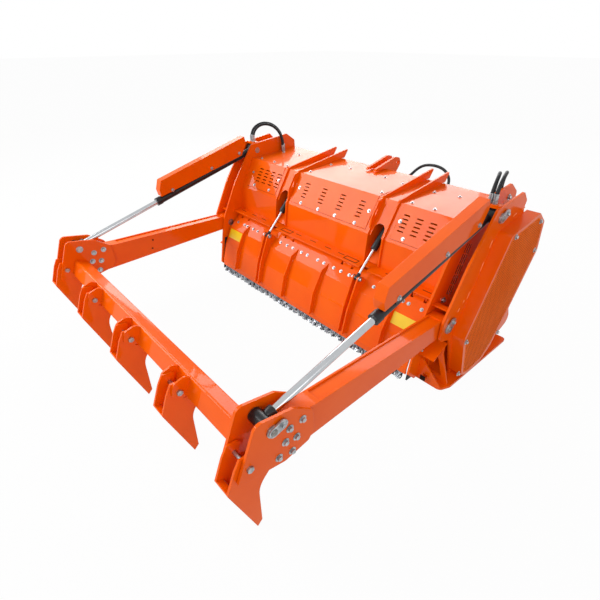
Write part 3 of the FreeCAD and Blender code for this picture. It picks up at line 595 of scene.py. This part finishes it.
def bothSides(mesh):
    """A mesh and its mirror image in x, with its faces turned over."""
    points, faces = mesh
    flipped = points * np.array([-1, 1, 1])
    return joined([mesh, (flipped, [list(f)[::-1] for f in faces])])


sheet = sheetMesh(guardSheet["outline"], guardOut - 0.0002, guardOut + 0.0006)
holes = holeMesh(guardSheet, guardOut + 0.0008)
newPiece("guardSheets", *bothSides(sheet), sheetEnamel, "mulcher", "orange enamel", smooth=False)
newPiece("guardHoles", *bothSides(holes), holeShade, "mulcher", smooth=False)
print("guard sheets made")


# Seams, slot backs and welds

# Dark sheets inside the breather slots of the inner side plates, under their outer
# faces, and a dark plate behind the square hole in each skid's front: painted shade of
# the unlit insides
breather = {"slopeDeg": 66, "foot": (1647.0, 576.0), "columns": (-27, 0, 27), "rows": 5,
            "pitch": 69, "from": 0.2, "to": 59.8, "half": 6.3}
slopeTurn = math.radians(breather["slopeDeg"])
slopeWay = np.array([math.cos(slopeTurn), math.sin(slopeTurn)])
acrossWay = np.array([-slopeWay[1], slopeWay[0]])
low, high, half = breather["from"], breather["to"], breather["half"]
shadeBacks = []
for column in breather["columns"]:
    for row in range(breather["rows"]):
        start = np.array(breather["foot"]) + slopeWay * breather["pitch"] * row
        slot = [start + slopeWay * u + acrossWay * (column + v)
                for u, v in ((low, -half), (high, -half), (high, half), (low, half))]
        shadeBacks.append(sheetMesh(slot, innerOut - 0.004, innerOut - 0.0015))
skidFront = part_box("skid_right")[0].y
shadeBacks.append(blockMesh((innerOut + 0.036, skidFront + 0.0122, 0.03),
                       (innerOut + 0.074, skidFront + 0.0132, 0.068)))
newPiece("breatherShadeBacks", *bothSides(joined(shadeBacks)), slotDark, "mulcher", smooth=False)

# Shadow lines along the lids' edges, in mm
lidSpans = ((-1020, -620), (-400, 400), (620, 1020))
seamWide, seamPast = 2.5, 2
slopeRun = math.dist(*panels["slope"])
lidFoot, lidEnd = 0.09 * slopeRun, 0.7 * math.dist(*panels["roof"])
seams = []
for x0, x1 in lidSpans:
    for name, up in (("slope", lidFoot - seamWide), ("roof", lidEnd)):
        seams.append(stripMesh(seamFit, name, x0 - seamPast, x1 + seamPast, up, up + seamWide))
    for left in (x0 - seamWide, x1):
        seams.append(stripMesh(seamFit, "slope", left, left + seamWide, lidFoot, slopeRun))
        seams.append(stripMesh(seamFit, "roof", left, left + seamWide, 0, lidEnd))
newPiece("lidSeams", *joined(seams), seamShade, "mulcher", smooth=False)


def bead(start, end, radius, count=8):
    """Weld bead from one point to another: a tube that narrows to closed ends."""
    start, end = np.array(start, float), np.array(end, float)
    axes = faced(end - start)
    angle = np.arange(count) * 2 * np.pi / count
    ring = np.stack([np.cos(angle), np.sin(angle), 0 * angle], 1) @ axes.T
    full = min(0.4, radius / np.linalg.norm(end - start))
    shares = ((0, 0.0), (0, 0.6), (full, 1.0), (1 - full, 1.0), (1, 0.6), (1, 0.0))
    rings = [start + (end - start) * s + ring * radius * r for s, r in shares]
    return np.concatenate(rings), gridFaces(len(rings), count, True)


# Plug welds where inner ribs lock through the outer and the inner side plates, in enamel painted paler as a
# painted highlight on the beads
plugs = [((1995, 1040), (2035, 1052)), ((2108, 1056), (2140, 1066)), ((1772, 900), (1790, 946)),
         ((1722, 764), (1742, 822)), ((1634, 608), (1652, 652)), ((1596, 596), (1604, 610)),
         ((1552, 546), (1566, 570))]
innerPlugs = [((2076, 1052), (2096, 1062)), ((2112, 1066), (2136, 1076))]
plugR = 0.0035
welds = [bead(onPlane(x, *start), onPlane(x, *end), plugR)
         for x, spans in ((outerOut, plugs), (innerOut, innerPlugs)) for start, end in spans]
newPiece("plugWelds", *bothSides(joined(welds)), weldPaintedHighlightEnamel, "mulcher", "orange enamel")

# Two small holes in each arm's inner face, as dark discs just off it: painted shade of their unlit insides
armHole = {"r": 0.007, "off": 0.0004, "count": 16, "spots": ((700, 500), (684, 428))}
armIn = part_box("arm_right")[0].x
angle = np.arange(armHole["count"]) * 2 * np.pi / armHole["count"]
disc = np.stack([0 * angle, np.cos(angle), np.sin(angle)], 1) * armHole["r"]
discFace = [list(range(armHole["count"]))[::-1]]
discs = [(disc + onPlane(armIn - armHole["off"], *spot), discFace) for spot in armHole["spots"]]
newPiece("armHoleShadeDiscs", *bothSides(joined(discs)), slotDark, "push_frame", smooth=False)

# Retainer flags of the pins: a lock screw at the far end and the pin's machined end
flagOut = outerOut + 0.016
pinEnd = turned([(0, 0), (0.017, 0), (0.017, 0.002), (0.015, 0.003), (0, 0.003)], 24)


def flagScrew(centre, slope, back):
    """Point on a flag, back mm from its pin along its slope."""
    a = math.radians(slope)
    return onPlane(flagOut, centre[0] + back * math.cos(a), centre[1] + back * math.sin(a))


# Pins by body: (y, z) of each and the slope of its flag
flagBack = 46
flagPins = {
    "pivot": ("mulcher", ((armPivotMm, 60), (basePinMm, 25))),
    "rodPin": ("push_frame", ((rodPinMm, 15),)),
}
for name, (body, pins) in flagPins.items():
    screws = [(flagScrew(centre, slope, flagBack), xPlus, wrench["screw"])
              for centre, slope in pins]
    boltPiece(name + "FlagScrews", screws + mirrored(screws), body)
    ends = [(onPlane(flagOut, *centre), xPlus, 1.0) for centre, slope in pins]
    newPiece(name + "Ends", *scatter(pinEnd, ends + mirrored(ends)), bareSteel, body,
             "bare steel")
print("seams and welds made")


# Hoses. Each is one spline from its port to its coupling, in mm, with its length in
# metres; the pairs at the sides are mirrored.
hoseLook = {"diameter": 0.022}
couplingLook = {
    "nutR": 0.0165, "nut": 0.016, "crimpR": 0.0145, "crimp": 0.042, "throatR": 0.0125,
    "mouthR": 0.0118, "rings": 4, "ring": 0.006, "grooveDeep": 0.0012,
}
hoseRoutes = {
    "outer": (0.579, [
        (1178, 1830, 1142), (1178, 1830, 1192), (1176, 1852, 1246), (1164, 1908, 1283),
        (1144, 1976, 1291), (1114, 2042, 1268), (1086, 2090, 1214), (1075, 2114, 1147),
        (1073.5, 2124, 1085), (1073, 2127, 1035.5)]),
    "inner": (0.547, [
        (1150, 1830, 1142), (1150, 1830, 1190), (1147, 1850, 1240), (1134, 1900, 1278),
        (1110, 1962, 1284), (1082, 2024, 1258), (1058, 2068, 1204), (1046, 2088, 1139),
        (1044.5, 2092, 1080), (1044.5, 2093, 1033.5)]),
    "rear": (0.623, [
        (212, 2292, 996), (212.5, 2344, 996), (218, 2396, 1014), (236, 2430, 1050),
        (282, 2446, 1088), (346, 2450, 1104), (416, 2450, 1105), (480, 2446, 1090),
        (530, 2430, 1054), (560, 2396, 1017), (572, 2344, 997), (572.5, 2292, 997)]),
}


def turnedAlong(profile, start, direction, count=32):
    """A turned profile with its heights along a direction from a start point."""
    points, faces = turned(profile, count)
    return points @ faced(direction).T + start, faces


def couplings(look, points):
    """Hex nut and crimped ferrule at each end of a hose."""
    meshes = []
    for end, after in ((points[0], points[1]), (points[-1], points[-2])):
        seat, top = look["nut"], look["nut"] + look["crimp"]
        nut = [(0, 0.0005), (look["nutR"], 0.0005), (look["nutR"], seat), (0, seat)]
        r, inner = look["crimpR"], look["crimpR"] - look["grooveDeep"]
        crimp = [(look["throatR"], seat)]
        for k in range(look["rings"]):
            low = seat + 0.004 + k * look["crimp"] / 4.6
            high = low + look["ring"]
            crimp += [(r, low), (r, high), (inner, high + 0.0005), (inner, high + 0.0025)]
        crimp += [(r, top - 0.002), (look["mouthR"], top)]
        meshes.append(turnedAlong(nut, end, after - end, 6))
        meshes.append(turnedAlong(crimp, end, after - end, 24))
    return joined(meshes)


def addHose(label, points):
    curve = bpy.data.curves.new(label, "CURVE")
    curve.dimensions = "3D"
    curve.bevel_depth = hoseLook["diameter"] / 2
    curve.bevel_resolution = 5
    curve.resolution_u = 12
    spline = curve.splines.new("NURBS")
    spline.points.add(len(points) - 1)
    for spot, point in zip(spline.points, points):
        spot.co = (*point, 1.0)
    spline.order_u = 3
    spline.use_endpoint_u = True
    curve.materials.append(rubber)
    piece = bpy.data.objects.new(label, curve)
    scene.collection.objects.link(piece)
    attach(piece, "mulcher")
    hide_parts("hoses")
    ends = newPiece(label + "Couplings", *couplings(couplingLook, points), zinc, "mulcher",
                    "zinc steel")


for label, (length, route) in hoseRoutes.items():
    points = np.array([at(*spot) for spot in route])
    if label == "rear":
        addHose("hoseRear", points)
    else:
        addHose("hoseRight" + label.title(), points)
        addHose("hoseLeft" + label.title(), points * [-1, 1, 1])
print("hoses made")


# Rear wall, door eyes and rib welds

# Bearing flange with its ring of bolts round the input shaft's nose
yPlus = (0, 1, 0)
wallBackMm, driveMm = 2291.5, 770
driveNose = at(0, wallBackMm, driveMm)
flangeLook = {"thick": 0.010, "boltR": 0.081, "bolts": 8}
flange = [(0.0635, 0.0), (0.096, 0.0), (0.098, 0.002), (0.098, 0.008),
          (0.096, flangeLook["thick"]), (0.0635, flangeLook["thick"])]
newPiece("noseFlange", *turnedAlong(flange + flange[:1], driveNose, yPlus, 48), blackPaint,
         "mulcher", "black enamel")
rearPlaces = []
for k in range(flangeLook["bolts"]):
    a = (k + 0.5) * 2 * math.pi / flangeLook["bolts"]
    spot = [flangeLook["boltR"] * math.cos(a), flangeLook["thick"],
            flangeLook["boltR"] * math.sin(a)]
    rearPlaces.append((driveNose + spot, yPlus, wrench["flange"]))
wallBoltXs, wallBoltZ = (320, 600, 840, 1040), 985
rearPlaces += [(at(side * x, wallBackMm, wallBoltZ), yPlus, wrench["wall"])
               for side in (-1, 1) for x in wallBoltXs]
boltPiece("rearBolts", rearPlaces, "mulcher")


def eyeShell(r, width, chamfer):
    """Profile of a round eye, width along its pin, with its two rims chamfered."""
    low, high = chamfer[1], width - chamfer[1]
    return [(0.0, 0.0), (r - chamfer[0], 0.0), (r, low), (r, high), (r - chamfer[0], width),
            (0.0, width)]


# Pins through the lugs of each door rod's eye, with a hex head at each end
rodLow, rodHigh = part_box("door_rod_right")
doorRodX = (rodLow.x + rodHigh.x) / 2
lugHalf, doorEyeWide = 0.027, 0.0268
eyePlaces = [(onPlane(side * doorRodX + way * lugHalf, *doorEyeMm), way * xPlus, wrench["frame"])
             for side in (-1, 1) for way in (-1, 1)]
boltPiece("doorEyeBolts", eyePlaces, "door")
doorWay = doorBase - at(0, *doorEyeMm)
doorWay[0] = 0
doorWay = doorWay / np.linalg.norm(doorWay)
doorCollar = [(0.0102, 0.012), (0.0135, 0.014), (0.0135, 0.034), (0.0118, 0.038),
              (0.0102, 0.038)]
for side, label in sides:
    middle = onPlane(side * doorRodX, *doorEyeMm)
    eye = turnedAlong(eyeShell(0.0178, doorEyeWide, (0.0013, 0.0015)),
                      middle - [doorEyeWide / 2, 0, 0], (1, 0, 0))
    collar = turnedAlong(doorCollar, middle, doorWay)
    newPiece("doorRodEye" + label.title(), *joined([eye, collar]), blackPaint,
             "door_rod_" + label, "black enamel")

# Weld beads along both sides of each door rib
doorFolds = [(1346, 110), (1389, 278), (1456, 423), (1518, 481)]
ribXs, ribHalf, ribBeadR = (-841, -174, 174, 841), 5, 0.003
beads = [bead(at(x + dx, *start), at(x + dx, *end), ribBeadR, 6)
         for x in ribXs for dx in (-ribHalf, ribHalf)
         for start, end in zip(doorFolds[:-1], doorFolds[1:])]
newPiece("doorRibWelds", *joined(beads), enamel, "door", "orange enamel")
print("rear wall and door details made")


# Cylinder ends

# The push rods end in black eyes with a collar
rodPin = onPlane(bayMid, *rodPinMm)
pushWay = basePin - rodPin
pushWay = pushWay / np.linalg.norm(pushWay)
pushEyeWide = 0.1045
pushCollar = [(0.0262, 0.026), (0.031, 0.034), (0.031, 0.066), (0.028, 0.07), (0.0262, 0.07)]
for side, label in sides:
    flip = np.array([side, 1, 1])
    eye = turnedAlong(eyeShell(0.0356, pushEyeWide, (0.0016, 0.002)),
                      (rodPin - [pushEyeWide / 2, 0, 0]) * flip, side * xPlus)
    collar = turnedAlong(pushCollar, rodPin * flip, pushWay * flip)
    newPiece("pushRodEye" + label.title(), *joined([eye, collar]), blackPaint,
             "push_rod_" + label, "black enamel")

# Screws that hold each cover to its barrel: along the barrel and up from its axis, mm
pushUp = np.array([0, -pushWay[2], pushWay[1]])
coverScrew = {"reaches": (880, 1290, 1600), "up": 40, "half": 34}
for side, label in sides:
    flip = np.array([side, 1, 1])
    spots = []
    for reach in coverScrew["reaches"]:
        for way in (-1, 1):
            spot = (rodPin + (pushWay * reach + pushUp * coverScrew["up"]) / 1000
                    + xPlus * way * coverScrew["half"] / 1000)
            spots.append((spot * flip, side * way * xPlus, wrench["screw"]))
    boltPiece("coverScrews" + label.title(), spots, "push_cylinder_" + label)
print("cylinder ends made")


# Stage, lights and camera
stageLook = {"half": 60.0, "floor": "#C8C8C6", "show": 0.97, "world": 0.47,
             "aim": (0.0, 0.4, 0.9)}


def buildFloor(look):
    h = look["half"]
    mesh = bpy.data.meshes.new("floor")
    mesh.from_pydata([(-h, -h, 0), (h, -h, 0), (h, h, 0), (-h, h, 0)], [], [(0, 1, 2, 3)])
    floor = bpy.data.objects.new("floor", mesh)
    scene.collection.objects.link(floor)
    material, tree, shader, _ = newMaterial("palePaperFloor", {
        "Roughness": 0.9, "Base Color": linear(look["floor"]), "Specular IOR Level": 0.0,
    })
    glow = addNode(tree, "ShaderNodeEmission", {"Color": (1, 1, 1, 1), "Strength": 1.0})
    path = addNode(tree, "ShaderNodeLightPath")
    direct = addNode(tree, "ShaderNodeMath", {"operation": "MAXIMUM"},
                     {0: path.outputs["Is Camera Ray"], 1: path.outputs["Is Glossy Ray"]})
    seen = addNode(tree, "ShaderNodeMath", {"operation": "MAXIMUM"},
                   {0: direct.outputs[0], 1: path.outputs["Is Transmission Ray"]})
    share = addNode(tree, "ShaderNodeMath", {"operation": "MULTIPLY", 1: look["show"]},
                    {0: seen.outputs[0]})
    mix = addNode(tree, "ShaderNodeMixShader", {}, {0: share.outputs[0],
                                                    1: shader.outputs[0], 2: glow.outputs[0]})
    output = [n for n in tree.nodes if n.type == "OUTPUT_MATERIAL"][0]
    tree.links.new(mix.outputs[0], output.inputs["Surface"])
    mesh.materials.append(material)


def buildWorld(strength):
    world = bpy.data.worlds.new("studio")
    scene.world = world
    world.use_nodes = True
    tree = world.node_tree
    tree.nodes.clear()
    lit = addNode(tree, "ShaderNodeBackground", {"Color": (1, 1, 1, 1), "Strength": strength})
    shown = addNode(tree, "ShaderNodeBackground", {"Color": (1, 1, 1, 1), "Strength": 1.0})
    path = addNode(tree, "ShaderNodeLightPath")
    seen = addNode(tree, "ShaderNodeMath", {"operation": "MAXIMUM"},
                   {0: path.outputs["Is Camera Ray"], 1: path.outputs["Is Glossy Ray"]})
    mix = addNode(tree, "ShaderNodeMixShader", {}, {0: seen.outputs[0], 1: lit.outputs[0],
                                                    2: shown.outputs[0]})
    addNode(tree, "ShaderNodeOutputWorld", {}, {"Surface": mix.outputs[0]})


def softbox(name, place, target, size, power):
    light = bpy.data.lights.new(name, "AREA")
    light.shape = "RECTANGLE"
    light.size, light.size_y = size
    light.energy = power
    lamp = bpy.data.objects.new(name, light)
    scene.collection.objects.link(lamp)
    axes = faced(np.array(place) - np.array(target))
    matrix = np.eye(4)
    matrix[:3, :3] = axes
    matrix[:3, 3] = place
    lamp.matrix_world = Matrix(matrix.tolist())


buildFloor(stageLook)
buildWorld(stageLook["world"])
# Lamps: name, place, size, watts
lamps = (
    ("frontLeftBox", (-3.9, -3.3, 3.6), (4.5, 3.0), 290),
    ("backLeftBox", (-4.5, 4.6, 3.9), (7.0, 4.5), 420),
    ("rightBox", (6.0, -1.5, 3.0), (4.0, 3.0), 60),
    ("frontRightBox", (3.4, -4.6, 3.4), (2.6, 2.0), 60),
)
for name, place, size, power in lamps:
    softbox(name, place, stageLook["aim"], size, power)

cameraLook = {"place": (2.1976, -1.7820, 1.9556), "turnDeg": (58.27, 0.0, 48.22), "lens": 25.44}
cameraData = bpy.data.cameras.new("camera")
cameraData.lens = cameraLook["lens"]
cameraData.sensor_width = 36.0
cameraData.clip_end = 200.0
camera = bpy.data.objects.new("camera", cameraData)
camera.location = cameraLook["place"]
camera.rotation_euler = [math.radians(v) for v in cameraLook["turnDeg"]]
scene.collection.objects.link(camera)
scene.camera = camera
scene.view_settings.view_transform = "Standard"
print("stage ready")
